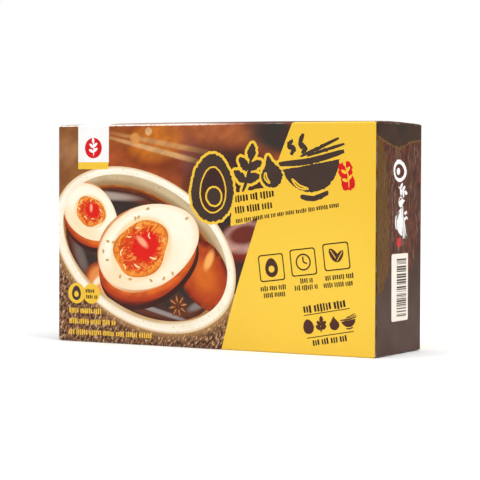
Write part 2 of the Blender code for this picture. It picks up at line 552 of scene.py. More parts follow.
def add_seal(sheet):
    """A plain red seal beside the brush-drawn signs, with a sprig left open in it."""
    for centre, width in (((85.6, 101.2), 8.2), ((87.2, 94.4), 8.4)):
        sheet.add_ragged("seal_red", rounded_box(centre, width, 8.6, 3, 6), 0.45, 0.9)
    sheet.add("yellow", *sprig((87.8, 91.6), (85.2, 104), 3.6, 1.7))


def add_front(sheet):
    """The front panel: the picture, and over it the yellow field with its signs and dashes."""
    sheet.add("backdrop", box((-END - 1, PICTURE_LOW), (END + 1, PICTURE_HIGH)))
    sheet.add("stoneware", [(-END - 1, PICTURE_LOW), (-END - 1, 66), (-80, 50), (-40, 30), (6, 20),
                            (17, 32), (17, PICTURE_LOW)])
    add_bowl(sheet)
    add_wedge(sheet)
    add_title(sheet, (36, 98), 6, 1, "title_brown", "backdrop", "yellow")
    for add_part in (add_seal, add_tag, add_badge, add_icons, add_foot_print):
        add_part(sheet)


def add_top(sheet):
    """The top panel: the brush-drawn signs again, smaller, on a dark ground."""
    sheet.add("top_ground", box((-END - 40, PICTURE_HIGH), (END + 40, TOP_BACK)))
    add_title(sheet, (6, TOP_MIDDLE + 2), 0, 0.85, "yellow", "top_ground")
    sheet.words("yellow", (-34, TOP_MIDDLE - 19), 78, 3.4, letter=2.6)
    hem = HEIGHT + TAG_OVER
    sheet.add("tag_white", box((TAG_LEFT, HEIGHT), (TAG_RIGHT, hem)))
    sheet.add("yellow", box((TAG_LEFT, hem), (HEM_RIGHT, hem + HEM)))


def on_back(x, y):
    """A place on the back panel, x to the right and y up for who looks from behind."""
    return -x, BACK_MIDDLE - y


def turned(points):
    return [on_back(x, y) for x, y in points]


def add_back(sheet):
    """The back panel: signs, rows of dashes and a ruled table, without a picture."""
    edge, half = END + 1, HEIGHT / 2
    sheet.add("back_ground", box((-edge, TOP_BACK), (edge, BACK_LOW + GLUE_FLAP + 1)))
    sheet.add("yellow", turned([(-edge, half), (-edge, -half - 2), (-42, -half - 2), (-10, half)]))
    add_title(sheet, on_back(-62, 40), 180, 0.66, "title_brown", "yellow")
    for level, length in ((20, 62), (14, 56)):
        sheet.words("word_brown", on_back(-94, level), length, 3.4, 180, 2.6)
    for i, x in enumerate((-84, -64, -44)):
        sheet.add("title_brown", ellipse(on_back(x, -6), (7.6, 7.6), 0, 40))
        sheet.add("yellow", ellipse(on_back(x, -6), (6.9, 6.9), 0, 40))
        sheet.add("title_brown", egg(on_back(x, -6), 8.4, 6.4, 270 - 30 * i, 32))
        sheet.words("word_brown", on_back(x - 7, -18), 14, 2.6, 180, 1.9)
    for level, length in ((-30, 46), (-37, 44), (-44, 47), (-51, 38)):
        sheet.words("word_brown", on_back(-94, level), length, 3, 180, 2.2)
    add_table(sheet)
    for row in range(8):
        sheet.words("yellow", on_back(8 - 1.5 * row, 49 - 6.4 * row), 82 - 9 * (row % 3), 2.9, 180, 2.1)


def add_table(sheet, left=2, right=94, high=-8, low=-53, rows=7):
    """A ruled table on a pale ground, with rows of dashes in three columns."""
    sheet.add("label_cream", turned(box((left, low), (right, high))))
    levels = [high + (low - high) * row / (2 * rows) for row in range(2 * rows + 1)]
    for level in levels[::2]:
        sheet.add("title_brown", turned(bar((left + 1, level), (right - 1, level), 0.35)))
    for level in levels[1::2]:
        for x, length in ((5, 24), (42, 16), (72, 12)):
            sheet.words("word_brown", on_back(x, level), length, 2.9, 180, 2)
    for x in (38, 67):
        sheet.add("title_brown", turned(bar((x, low + 0.5), (x, high - 0.5), 0.35)))


def tube_print():
    sheet = Print()
    for add_panel, seed in ((add_back, 7), (add_top, 5), (add_front, 3)):
        sheet.draw.seed(seed)
        add_panel(sheet)
    return sheet


# The small ends

def end_print(barcode):
    """A small end as its viewer sees it: y across, with 0 in the middle, and z up."""
    sheet = Print(23 if barcode else 29)
    draw = sheet.draw
    side = DEPTH / 2 + 2
    corners = [(side, HEIGHT + 1), (-side, HEIGHT + 1)]
    shore = curve([(-side, 33), (-20, 36), (-13, 45), (-3, 42), (7, 50), (15, 45), (22, 53), (side, 57)])
    sauce = roughened(shore + corners, 0.45, draw, 0.7)
    sheet.add("end_sauce", sauce)
    streaks = (("end_red", 14, 54, 114, (-14, 24)), ("end_ochre", 22, 44, 112, (-26, -8)),
               ("end_faint", 46, 56, 116, (-6, 27)))
    for ink, count, low, high, span in streaks:
        for _ in range(count):
            x, z = draw.uniform(*span), draw.uniform(low, high)
            fall = draw.uniform(3, 9)
            sway = 2.2 * math.sin(z / 9)
            line = [(x, z), (x + sway * 0.6, z - fall / 2), (x + sway, z - fall)]
            sheet.add_ragged(ink, stroke(line, draw.uniform(0.5, 1.15), 0.1, 4), 0.16, 0.8, sauce)
    hanging = curve([(-side, 121), (-20, 117.6), (-10, 115.2), (-1, 113.6), (8, 115.4), (17, 117.4),
                     (side, 118.2)])
    for ink, lower in (("end_ochre", 1.1), ("end_dark", 0)):
        sheet.add_ragged(ink, [(x, z - lower) for x, z in hanging] + corners, 0.75, 0.7)
    add_title(sheet, (2.6, 85.5), -90, 0.44, "tag_white", "end_sauce")
    sheet.words("end_faint", (-8.4, 106), 44, 1.6, -90, 1.4)
    for level, semi in ((62.4, (2.4, 1.7)), (60.6, (2.6, 1.6))):
        sheet.add_ragged("seal_red", ellipse((0.4, level), semi, 0, 24), 0.22, 0.7)
    if barcode:
        add_barcode(sheet)
    else:
        sheet.add("label_cream", rounded_box((1, 32), 26, 22, 1.2))
        for level in (39, 34, 29, 24):
            sheet.words("word_brown", (-9.5, level), 20, 2.4, 0, 1.9)
    return sheet


def add_barcode(sheet, module=0.33):
    """A pale patch with bars of made-up widths."""
    sheet.add("label_cream", rounded_box((1.5, 36.8), 21, 37, 1.2))
    level = 20.8
    while level < 51.6:
        thick = module * sheet.draw.choice((1, 1, 2, 2, 3))
        sheet.add("title_brown", box((-2.4, level), (9.8, level + thick)))
        level += thick + module * sheet.draw.choice((1, 1, 2, 3))


# Folding

# One straight stretch of a folded sheet's section: where it starts along the sheet, its first
# point, its direction and outward normal, its length, and the fold radius before and after it
Leg = namedtuple("Leg", "name start point direction normal length before after")


def folded_path(start, point, direction, *stretches):
    """Legs that turn right at each fold; a stretch is a name, a length and the radius after it."""
    point, direction = Vector(point), Vector(direction)
    legs, before = [], 0
    for name, length, after in stretches:
        normal = Vector((-direction.y, direction.x))
        legs.append(Leg(name, start, point, direction, normal, length, before, after))
        start, point, before = start + length, point + direction * length, after
        direction = Vector((direction.y, -direction.x))
    return legs


def on_path(legs, s):
    """(name, share along its flat part, point, normal) at s along a path with rounded corners."""
    index = 0
    while index < len(legs) - 1 and s > legs[index].start + legs[index].length:
        index += 1
    leg = legs[index]
    along = s - leg.start
    share = min(max((along - leg.before) / (leg.length - leg.before - leg.after), 0), 1)
    if leg.after and along > leg.length - leg.after:
        place = on_corner(leg, leg.after, (along - leg.length + leg.after) / (2 * leg.after))
    elif leg.before and along < leg.before:
        place = on_corner(legs[index - 1], leg.before, 0.5 + along / (2 * leg.before))
    else:
        place = leg.point + leg.direction * along, leg.normal
    return leg.name, share, *place


def on_corner(leg, radius, turn):
    """Point and normal on the rounded fold at the end of leg; turn runs from 0 to 1 through it."""
    angle = math.radians(90) * turn
    normal = leg.normal * math.cos(angle) + leg.direction * math.sin(angle)
    corner = leg.point + leg.direction * leg.length
    return corner - (leg.direction + leg.normal) * radius + normal * radius, normal


# The tube's section seen from the right end, and the plan of a closing flap at the right end: its
# hinge, its face and its tuck behind the front panel
TUBE_PATH = folded_path(
    -DEPTH, (DEPTH / 2, 0), (-1, 0),
    ("bottom", DEPTH, FOLD_RADIUS),
    ("front", HEIGHT, FOLD_RADIUS),
    ("top", DEPTH, FOLD_RADIUS),
    ("back", HEIGHT - SEAM_LIFT, FOLD_RADIUS),
    ("glue", GLUE_FLAP, 0),
)
CLOSURE_PATH = folded_path(
    -FOLD_RADIUS, (BACK_EDGE, DEPTH / 2), (1, 0),
    ("hinge", FOLD_RADIUS, FOLD_RADIUS),
    ("face", DEPTH / 2 - TUCK_FOLD, TUCK_RADIUS),
    ("tuck", TUCK_LENGTH, 0),
)

# Each crowned panel's crown, the share of it that is left near the carton's ends, and its lean
CROWNS = {
    "front": (CROWN_FACE, 0, 1),
    "back": (CROWN_FACE, 0, 1),
    "top": (CROWN_TOP, TOP_CROWN_AT_END, TOP_LEAN),
}


def hump(share):
    """1 in the middle of a panel and 0 at both of its edges."""
    return 4 * share * (1 - share)


def swell(name, x, share):
    """How far the full carton pushes a panel out, with a slight unevenness."""
    crown, least, lean = CROWNS[name]
    reach = min(abs(x) / (END - CROWN_END_MARGIN), 1)
    along = least + (1 - least) * (1 - reach ** 2) ** 0.7
    uneven = RIPPLE * math.sin(x / 19 + 3 * share) * math.sin(x / 43 - 5 * share + 1)
    return (crown + uneven) * along * hump(share ** lean)


def tube_point(u, v):
    """Where a point of the tube's flat sheet comes to lie, in millimetres."""
    name, share, point, normal = on_path(TUBE_PATH, v)
    x, sunk = u, 0
    beyond = abs(u) - DUST_ROOT
    if name in ("bottom", "top") and beyond > 0:
        turn = math.radians(90) * min(beyond / (2 * FOLD_RADIUS), 1)
        x = math.copysign(DUST_ROOT + FOLD_RADIUS * math.sin(turn), u)
        sunk = FOLD_RADIUS * (1 - math.cos(turn)) + max(beyond - 2 * FOLD_RADIUS, 0)
    if name in CROWNS:
        sunk -= swell(name, x, share)
    return Vector((x, point.x - normal.x * sunk, point.y - normal.y * sunk))


def closure_point(side):
    """The folding of a closing flap; side is 1 at the right end and -1 at the left."""
    def point_of(across, z):
        name, share, point, _ = on_path(CLOSURE_PATH, DEPTH / 2 - side * across)
        bulge = CLOSURE_BULGE * hump(share) * hump(z / HEIGHT) if name == "face" else 0
        return Vector((side * (point.x - bulge), point.y, z))
    return point_of


# Flat sheets cut along their print

def tab(low, high, straight=5, slant=4):
    """A dust flap's outline beyond its fold, on the right."""
    bend, tip = DUST_ROOT + straight, DUST_ROOT + DUST_LENGTH
    return [(DUST_ROOT, low), (bend, low), (tip, low + slant), (tip, high - slant), (bend, high),
            (DUST_ROOT, high)]


def tube_outline():
    """The tube's blank: four panels, the dust flaps of the top and bottom, and the glue flap."""
    front_low, front_high, back_high = -FOLD_RADIUS, HEIGHT + FOLD_RADIUS, TOP_BACK - FOLD_RADIUS
    right = [(DUST_ROOT, -DEPTH + 0.1)]
    right += tab(-DEPTH + 1, front_low - NOTCH)
    right += [(DUST_ROOT, front_low), (FRONT_EDGE, front_low)]
    right += [(FRONT_EDGE, front_high), (DUST_ROOT, front_high)]
    right += tab(front_high + NOTCH, back_high - NOTCH)
    right += [(DUST_ROOT, back_high), (BACK_EDGE, back_high), (BACK_EDGE, BACK_LOW + FOLD_RADIUS),
              (BACK_EDGE - GLUE_SLANT, BACK_LOW + GLUE_FLAP)]
    return right + [(-u, v) for u, v in reversed(right)]


def closure_outline(side, nick=1.9, slant=9):
    """A closing flap, whose tuck is nicked at its fold and narrower toward its tip."""
    hinge, bend = DEPTH / 2 + FOLD_RADIUS, TUCK_FOLD - TUCK_RADIUS
    lower = [(hinge, 0), (bend + 1.2, 0), (bend - 0.6, nick), (TUCK_FOLD - TUCK_LENGTH, slant)]
    points = [(across, CLOSURE_INSET + inset) for across, inset in lower]
    points += [(across, HEIGHT - CLOSURE_INSET - inset) for across, inset in reversed(lower)]
    return [(side * across, z) for across, z in points]


def fold_levels(corner, radius=FOLD_RADIUS):
    """The lines across a fold that give it its roundness."""
    return [corner - radius + 2 * radius * k / (FOLD_LINES - 1) for k in range(FOLD_LINES)]


def lattice(columns, rows):
    """Chains of points along every line of a grid."""
    return [[(u, v) for v in rows] for u in columns] + [[(u, v) for u in columns] for v in rows]


def spaced(low, high):
    parts = max(1, round((high - low) / GRID_STEP))
    return [low + (high - low) * k / parts for k in range(parts + 1)]


def tube_lattice():
    """Lines along every fold and evenly over the panels, so that crowns and folds come out round."""
    rows = spaced(-DEPTH, -FOLD_RADIUS)
    for corner, stop in ((0, HEIGHT), (HEIGHT, TOP_BACK), (TOP_BACK, BACK_LOW)):
        rows += fold_levels(corner) + spaced(corner + FOLD_RADIUS, stop - FOLD_RADIUS)[1:-1]
    rows += fold_levels(BACK_LOW) + [BACK_LOW + GLUE_FLAP]
    ends = fold_levels(DUST_FACE) + [DUST_FACE + DUST_LENGTH]
    return lattice([-u for u in reversed(ends)] + spaced(-DUST_ROOT, DUST_ROOT)[1:-1] + ends, rows)


def closure_lattice(side):
    across = [TUCK_FOLD - TUCK_LENGTH] + fold_levels(TUCK_FOLD, TUCK_RADIUS)
    across += spaced(TUCK_FOLD + TUCK_RADIUS, DEPTH / 2 - FOLD_RADIUS)[1:-1] + fold_levels(DEPTH / 2)
    low, high = CLOSURE_INSET, HEIGHT - CLOSURE_INSET
    edge_rows = (0, 0.45, 1.3)
    rows = [low + inset for inset in edge_rows] + spaced(low, high)[1:-1]
    rows += [high - inset for inset in reversed(edge_rows)]
    return lattice([side * a for a in across], rows)


def triangulated(outline, sheet, chains):
    """Triangles of a flat sheet that follow its outline, its print and its lattice."""
    closed = [outline]
    for _, area, within in sheet.areas:
        closed += [area] if within is None else [area, within]
    points, edges = [], []
    for number, chain in enumerate(closed + chains):
        first = len(points)
        points += chain
        edges += [(first + i, first + i + 1) for i in range(len(chain) - 1)]
        if number < len(closed):
            edges.append((first + len(chain) - 1, first))
    found, _, faces, _, _, _ = delaunay_2d_cdt([Vector(p) for p in points], edges, [], 0, SAME_POINT)
    corners = np.array([tuple(p) for p in found])
    faces = np.array([tuple(face) for face in faces])
    middle = corners[faces].mean(axis=1)
    a, b, c = (corners[faces[:, k]] for k in range(3))
    area = (b[:, 0] - a[:, 0]) * (c[:, 1] - a[:, 1]) - (b[:, 1] - a[:, 1]) * (c[:, 0] - a[:, 0])
    kept = inside(outline, middle[:, 0], middle[:, 1]) & (np.abs(area) > SAME_POINT ** 2)
    faces[area < 0] = faces[area < 0][:, ::-1]
    return corners, faces[kept], middle[kept]


def surface_normal(point_of, u, v, step=0.02):
    across = point_of(u + step, v) - point_of(u - step, v)
    along = point_of(u, v + step) - point_of(u, v - step)
    return across.cross(along).normalized()


def boundary(faces):
    """The directed edges that only one triangle has."""
    edges = dict.fromkeys(edge for face in faces for edge in sides(face))
    return [edge for edge in edges if edge[::-1] not in edges]


def wear_at(corners, outline, folds):
    """How worn the print is at each point: most along the folds and cut edges."""
    x, y = corners[:, 0], corners[:, 1]
    nearest = np.full(len(corners), np.inf)
    for start, stop in sides(outline) + folds:
        along = np.array(stop) - np.array(start)
        share = ((x - start[0]) * along[0] + (y - start[1]) * along[1]) / max(along @ along, SAME_POINT)
        share = np.clip(share, 0, 1)
        distance = np.hypot(x - start[0] - share * along[0], y - start[1] - share * along[1])
        nearest = np.minimum(nearest, distance)
    return np.clip(1 - nearest / WEAR_REACH, 0, 1)


def folded_sheet(name, outline, sheet, chains, point_of, base_ink, folds, inks):
    """A printed sheet of board, cut out, folded and given its thickness."""
    corners, faces, middle = triangulated(outline, sheet, chains)
    used, faces = np.unique(faces, return_inverse=True)
    corners = corners[used]
    faces = [tuple(face) for face in faces.reshape(-1, 3).tolist()]
    inked = sheet.ink_at(middle[:, 0], middle[:, 1], base_ink)

    skin = [point_of(u, v) for u, v in corners]
    normals = [surface_normal(point_of, u, v) for u, v in corners]
    inner = [point - normal * BOARD for point, normal in zip(skin, normals)]
    count = len(skin)
    rim = boundary(faces)
    polygons = faces + [tuple(count + i for i in face[::-1]) for face in faces]
    polygons += [(b, a, count + a, count + b) for a, b in rim]

    mesh = bpy.data.meshes.new(name)
    mesh.from_pydata([p * MM for p in skin + inner], [], polygons)
    names = sorted(set(inked)) + ["raw_board"]
    for ink in names:
        mesh.materials.append(inks[ink])
    slots = [names.index(ink) for ink in inked] + [len(names) - 1] * (len(faces) + len(rim))
    mesh.polygons.foreach_set("material_index", slots)

    low, high = corners.min(axis=0), corners.max(axis=0)
    shares = (corners - low) / (high - low)
    flat_uv, bake_uv, shading = [], [], []
    for sign, (level, tall) in ((1, BAKE_OUTSIDE), (-1, BAKE_INSIDE)):
        for face in faces:
            for i in face[::sign]:
                flat_uv.append(corners[i])
                bake_uv.append((BAKE_ACROSS[0] + BAKE_ACROSS[1] * shares[i][0], level + tall * shares[i][1]))
                shading.append(sign * normals[i])
    for k, (a, b) in enumerate(rim):
        left, right = k / len(rim), (k + 1) / len(rim)
        flat_uv += [corners[b], corners[a], corners[a], corners[b]]
        bake_uv += [(right, BAKE_RIM[0]), (left, BAKE_RIM[0]), (left, BAKE_RIM[1]), (right, BAKE_RIM[1])]
        shading += [(skin[a] - skin[b]).cross(normals[a]).normalized()] * 4
    for map_name, values in ((SHEET_MAP, flat_uv), (BAKE_MAP, bake_uv)):
        layer = mesh.uv_layers.new(name=map_name)
        layer.data.foreach_set("uv", np.array(values, dtype=np.float32).ravel())
    worn = wear_at(corners, outline, folds)
    layer = mesh.attributes.new(WEAR, "FLOAT", "POINT")
    layer.data.foreach_set("value", np.concatenate([worn, worn]).astype(np.float32))
    mesh.shade_smooth()
    mesh.normals_split_custom_set([tuple(n) for n in shading])
    mesh.validate()
    return linked(name, mesh)


def linked(name, data):
    """A new object in the scene."""
    made = bpy.data.objects.new(name, data)
    bpy.context.scene.collection.objects.link(made)
    return made


# Inks: print colours under one varnish

def linear(colour):
    """Linear light from an sRGB colour of 0 to 255."""
    shares = [c / 255 for c in colour]
    return tuple(s / 12.92 if s <= 0.04045 else ((s + 0.055) / 1.055) ** 2.4 for s in shares) + (1.0,)


def join(tree, socket, value):
    """Links an output to an input socket, or sets the socket to a constant."""
    if isinstance(value, bpy.types.NodeSocket):
        tree.links.new(value, socket)
    elif value is not None:
        socket.default_value = value


def add_node(tree, kind, inputs, output=0, **settings):
    """An output of a new node, whose inputs are joined or set by name or number."""
    node = tree.nodes.new("ShaderNode" + kind)
    for setting, value in settings.items():
        setattr(node, setting, value)
    for key, value in inputs.items():
        join(tree, node.inputs[key], value)
    return node.outputs[output]


class Ink:
    """One print colour's node tree. Every place in it is in millimetres on the flat sheet."""

    def __init__(self, name):
        self.material = bpy.data.materials.new("ink_" + name)
        self.material.use_nodes = True
        self.tree = self.material.node_tree
        self.place = self.node("UVMap", {}, "UV", uv_map=SHEET_MAP)

    def node(self, kind, inputs, output=0, **settings):
        return add_node(self.tree, kind, inputs, output, **settings)

    def shade(self, **inputs):
        """Joins or sets the shader's inputs, whose names have spaces for underscores."""
        shader = self.tree.nodes["Principled BSDF"]
        for name, value in inputs.items():
            join(self.tree, shader.inputs[name.replace("_", " ")], value)
        return self.material

    def sum(self, operation, first, second=None):
        return self.node("Math", {0: first, 1: second}, operation=operation)

    def scaled_add(self, value, other, factor):
        """value plus other times factor."""
        return self.sum("ADD", value, self.sum("MULTIPLY", other, factor))

    def blend(self, share, first, second):
        """first where share is 0 and second where it is 1."""
        first, second = (linear(c) if isinstance(c, tuple) else c for c in (first, second))
        return self.node("Mix", {0: share, 6: first, 7: second}, 2, data_type="RGBA")

    def spread(self, value, low, high, to_low=0.0, to_high=1.0):
        """A smooth step from to_low, where value is low, to to_high, where it is high."""
        numbers = dict(enumerate((value, low, high, to_low, to_high)))
        return self.node("MapRange", numbers, interpolation_type="SMOOTHSTEP")

    def tint(self, colour, other, value, low, high, most=1.0):
        """colour, which turns into other as value goes from low to high; most is other's share."""
        return self.blend(self.spread(value, low, high, 0.0, most), colour, other)

    def moved(self, centre, semi, tilt):
        turn = (0.0, 0.0, math.radians(tilt))
        inputs = {"Vector": self.place, "Location": (*centre, 0), "Rotation": turn, "Scale": (*semi, 1)}
        return self.node("Mapping", inputs, vector_type="TEXTURE")

    def oval(self, centre, semi, tilt=0):
        """0 at centre, 1 on the ellipse and more outside it."""
        return self.node("VectorMath", {0: self.moved(centre, semi, tilt)}, "Value", operation="LENGTH")

    def along(self, axis):
        """The place on the flat sheet: u for axis 0 and v for axis 1."""
        return self.node("SeparateXYZ", {0: self.place}, axis)

    def noise(self, size, detail=3, tilt=0, stretch=1, distortion=0):
        """Cloudy variation from 0 to 1 with features of about size millimetres."""
        inputs = {"Vector": self.moved((0, 0), (size * stretch, size), tilt), "Scale": 1, "Detail": detail}
        return self.node("TexNoise", {**inputs, "Distortion": distortion})

    def shaded(self, colour, ovals):
        """Soft ovals of other colours over a ground: centre, semi-axes, tilt, softness and colour."""
        for centre, semi, tilt, soft, other in ovals:
            colour = self.tint(colour, other, self.oval(centre, semi, tilt), 1 + soft, 1 - soft)
        return colour

    def relief(self, height, strength, distance):
        return self.node("Bump", {"Strength": strength, "Distance": distance, "Height": height})

    def varnish(self, colour, roughness=0.36, gloss=0.05, shine=0.16):
        """Joins a colour to the shader, with worn folds, fine fibre relief and a thin gloss."""
        worn = self.node("Attribute", {}, "Fac", attribute_name=WEAR)
        rubbed = self.sum("MULTIPLY", worn, self.spread(self.noise(6, 4), 0.3, 0.7, 0.55, 1))
        height = self.scaled_add(self.noise(5, 2), self.noise(0.55, 3, 0, 2.2), 0.25)
        return self.shade(
            Base_Color=self.tint(colour, PAPER, rubbed, 0.6, 1, 0.4),
            Roughness=self.spread(self.noise(14, 5), 0.3, 0.7, roughness - 0.05, roughness + 0.07),
            Specular_IOR_Level=shine,
            Coat_Weight=gloss,
            Coat_Roughness=0.22,
            Normal=self.relief(height, 0.12, 0.0003),
        )


def plain_ink(name, colour, deeper, size):
    """An even field of colour with the slight mottling of offset print."""
    ink = Ink(name)
    dark = tuple(c * deeper for c in colour)
    return ink.varnish(ink.tint(colour, dark, ink.noise(size, 4), 0.25, 0.75), 0.34)


def yellow_ink():
    ink = Ink("yellow")
    # Painted light: the yellow is lighter round the lower right of the front and deeper away from it.
    colour = ink.tint((246, 203, 66), (241, 193, 54), ink.oval((60, 30), (80, 60)), 0.3, 1.3)
    return ink.varnish(ink.tint(colour, (255, 224, 120), ink.noise(0.9, 2), 0.3, 0.75, 0.12))


def backdrop_ink():
    """Out-of-focus warm shapes behind the bowl; over the upper fold a painted pale reflection, and along it
    a ragged white line of painted highlight and rubbed print, both fading to the right.
    """
    ink = Ink("backdrop")
    ground = ink.tint((126, 54, 24), (186, 88, 36), ink.noise(34), 0.3, 0.7)
    colour = ink.shaded(ground, (
        ((-100, 106), (20, 32), 10, 0.5, (146, 92, 48)),
        ((-97, 112), (9, 7), 16, 0.6, (170, 118, 74)),
        ((-58, 124), (19, 12), -8, 0.4, (164, 82, 28)),
        ((-33, 117), (25, 16), 10, 0.16, (142, 60, 18)),
        ((-34, 118), (19, 11), 10, 0.4, (204, 114, 32)),
        ((-8, 104), (9, 17), 24, 0.5, (158, 84, 70)),
        ((-26, 110), (40, 1.5), -13, 0.45, (224, 170, 112)),
        ((-22, 114.5), (42, 1.5), -10, 0.45, (206, 146, 88)),
        ((-50, 119), (3.2, 3.2), 0, 0.2, (224, 150, 78)),
        ((-41, 123), (2.3, 2.3), 0, 0.25, (240, 186, 128)),
        ((0, 120), (3.6, 3.6), 0, 0.2, (196, 120, 72)),
        ((16, 90), (34, 26), -24, 0.4, (62, 38, 34)),
        ((10, 122), (30, 7), -4, 0.7, (176, 96, 52)),
        ((46, 119), (22, 10), -18, 0.45, (50, 50, 46)),
        ((18, 46), (18, 36), 14, 0.3, (44, 38, 36)),
        ((23, 61), (16, 10.5), 12, 0.25, (132, 34, 22)),
        ((23, 63.5), (14.5, 8.5), 12, 0.2, (206, 156, 144)),
        ((23, 65), (10.5, 5.4), 12, 0.3, (112, 44, 32)),
    ))
    colour = ink.tint(colour, (84, 40, 28), ink.noise(7, 5, 30, 1.6), 0.35, 0.65, 0.34)
    # Painted reflection: a pale band over the upper fold at the left, fading to the right.
    high = ink.along(1)
    leftward = ink.spread(ink.along(0), 26, -16)
    beyond = ink.sum("MULTIPLY", ink.spread(high, HEIGHT + 0.3, HEIGHT + 0.7, 0, 0.85), leftward)
    colour = ink.blend(beyond, colour, (236, 214, 200))
    # Painted highlight together with rubbed print: a ragged white line along the upper fold, fading to the
    # right.
    off = ink.sum("ABSOLUTE", ink.sum("SUBTRACT", high, HEIGHT - 0.25))
    ragged = ink.scaled_add(off, ink.noise(1.8, 4), 1.1)
    rubbed = ink.sum("MULTIPLY", ink.spread(ragged, 1.1, 0.8), leftward)
    return ink.varnish(ink.blend(rubbed, colour, (254, 252, 248)))


def stoneware_ink():
    """The rough, flecked outside of the bowl."""
    ink = Ink("stoneware")
    flecks = ink.noise(1.4, 3, 64, 2.1)
    colour = ink.tint((66, 40, 27), (150, 102, 66), flecks, 0.47, 0.54)
    colour = ink.tint(colour, (222, 184, 144), ink.noise(1.3, 2, 60, 2.2), 0.57, 0.62, 0.9)
    colour = ink.tint(colour, (98, 62, 42), ink.noise(26, 2), 0.3, 0.7, 0.35)
    near_rim = ink.scaled_add(ink.oval(*RIM), flecks, 0.16)
    return ink.varnish(ink.tint(colour, (196, 150, 92), near_rim, 1.17, 1.05, 0.75))


def ringed_ink(name, oval, steps, specks=None, glints=(), mottle=None):
    """A field shaded from ring to ring round an oval, with specks and soft glints.

    steps are (reach, colour) from the middle outward, specks (size, share, colour), and mottle
    the same as specks with, where it has them, a tilt and a stretch.
    """
    ink = Ink(name)
    reach = ink.oval(*oval)
    colour = steps[0][1]
    for (before, _), (after, other) in zip(steps, steps[1:]):
        colour = ink.tint(colour, other, reach, before, after)
    if mottle:
        size, share, other, *lie = mottle
        colour = ink.tint(colour, other, ink.noise(size, 4, *lie), 0.42, 0.66, share)
    if specks:
        size, share, other = specks
        colour = ink.tint(colour, other, ink.noise(size, 2), 0.66, 0.71, share)
    return ink.varnish(ink.shaded(colour, glints))


def bowl_inks():
    """The bowl's rim and wall, and the broth with the line that it leaves on the wall."""
    rim_steps = ((0.86, (206, 168, 116)), (0.905, (252, 243, 221)), (0.96, (255, 248, 230)),
                 (1, (222, 188, 138)))
    wall_steps = ((0.94, (120, 84, 50)), (1.02, (160, 126, 86)), (1.12, (206, 184, 146)))
    line_steps = ((0.95, (96, 42, 20)), (1, (196, 112, 34)))
    broth_steps = ((0.55, (46, 42, 40)), (0.82, (54, 40, 36)), (0.93, (104, 48, 28)), (1, (58, 34, 28)))
    broth_glints = (
        ((-70, 86), (20, 2.2), -4, 0.5, (168, 150, 140)),
        ((-88, 50), (3, 9), 24, 0.6, (112, 96, 90)),
        ((-34, 20), (20, 1.3), -14, 0.5, (150, 140, 136)),
        ((-8, 24), (6, 2), 24, 0.6, (132, 122, 118)),
        ((8, 48), (1.6, 9), -16, 0.5, (142, 132, 128)),
    )
    table = (
        ("bowl_rim", RIM, rim_steps, (1.2, 0.7, (160, 118, 76)), (), (14, 0.4, (243, 226, 192)), 2),
        ("bowl_wall", WALL_LINE, wall_steps, (1.1, 0.9, (84, 54, 38)), (), (9, 0.3, (170, 130, 84)), 3),
        ("wall_line", WALL_LINE, line_steps, None, (), (4, 0.6, (128, 56, 22)), 2),
        ("broth", BROTH, broth_steps, None, broth_glints, (5, 0.45, (96, 52, 36)), 4),
    )
    return {name: ringed_ink(name, oval, steps, specks, glints, (*mottle, BOWL_TILT, stretch))
            for name, oval, steps, specks, glints, mottle, stretch in table}


def egg_inks():
    """Whole eggs, and for each cut egg its stained outside, its white and its yolk."""
    amber_steps = ((0.15, (214, 104, 28)), (0.7, (176, 62, 20)), (1, (104, 26, 14)))
    amber_glints = (((0, 50), (2.4, 5.5), -24, 0.5, (250, 176, 92)),)
    tan_steps = ((0.2, (246, 180, 112)), (0.75, (230, 138, 70)), (1, (150, 58, 26)))
    tan_glints = (((-76, 36), (1.8, 4.2), -50, 0.5, (255, 232, 196)),)
    side_steps = ((0.86, (226, 106, 30)), (0.99, (190, 64, 20)), (1.1, (104, 30, 14)))
    whole = (
        ("amber_egg", egg_oval(*AMBER_EGG), amber_steps, None, amber_glints, (6, 0.4, (196, 92, 28))),
        ("tan_egg", egg_oval(*TAN_EGG), tan_steps, None, tan_glints),
        ("egg_shade", BROTH, ((0.2, (40, 22, 18)), (1, (66, 30, 22)))),
    )
    inks = {name: ringed_ink(name, *rest) for name, *rest in whole}
    for size, half in HALVES.items():
        (x, y), length, width, tilt = half["egg"]
        below = egg_oval((x, y - half["depth"] * 0.6), length, width, tilt)
        side = "egg_side_" + size
        inks[side] = ringed_ink(side, below, side_steps, mottle=(7, 0.5, (150, 50, 20), tilt, 2))
        inks["egg_white_" + size] = egg_white_ink("egg_white_" + size, half)
        inks["yolk_" + size] = yolk_ink("yolk_" + size, half["yolk"])
    return inks


def egg_white_ink(name, half):
    """A creamy cut face with a stained edge, warmer round the yolk and in a shallow hollow."""
    ink = Ink(name)
    (x, y), length, width, tilt = half["egg"]
    edge = ink.oval(*egg_oval(*half["egg"]))
    colour = ink.tint((255, 248, 226), (251, 232, 198), edge, 0.82, 0.97)
    colour = ink.tint(colour, (214, 136, 70), edge, 0.965, 1.01)
    colour = ink.tint(colour, (250, 208, 140), ink.oval(*half["yolk"]), 1.2, 1.04, 0.75)
    hollow = ((x - width * 0.2, y - width * 0.26), (length * 0.36, width * 0.2), tilt, 0.7, (250, 226, 184))
    colour = ink.shaded(colour, (hollow,))
    return ink.varnish(ink.tint(colour, (250, 234, 204), ink.noise(12), 0.4, 0.8, 0.2))


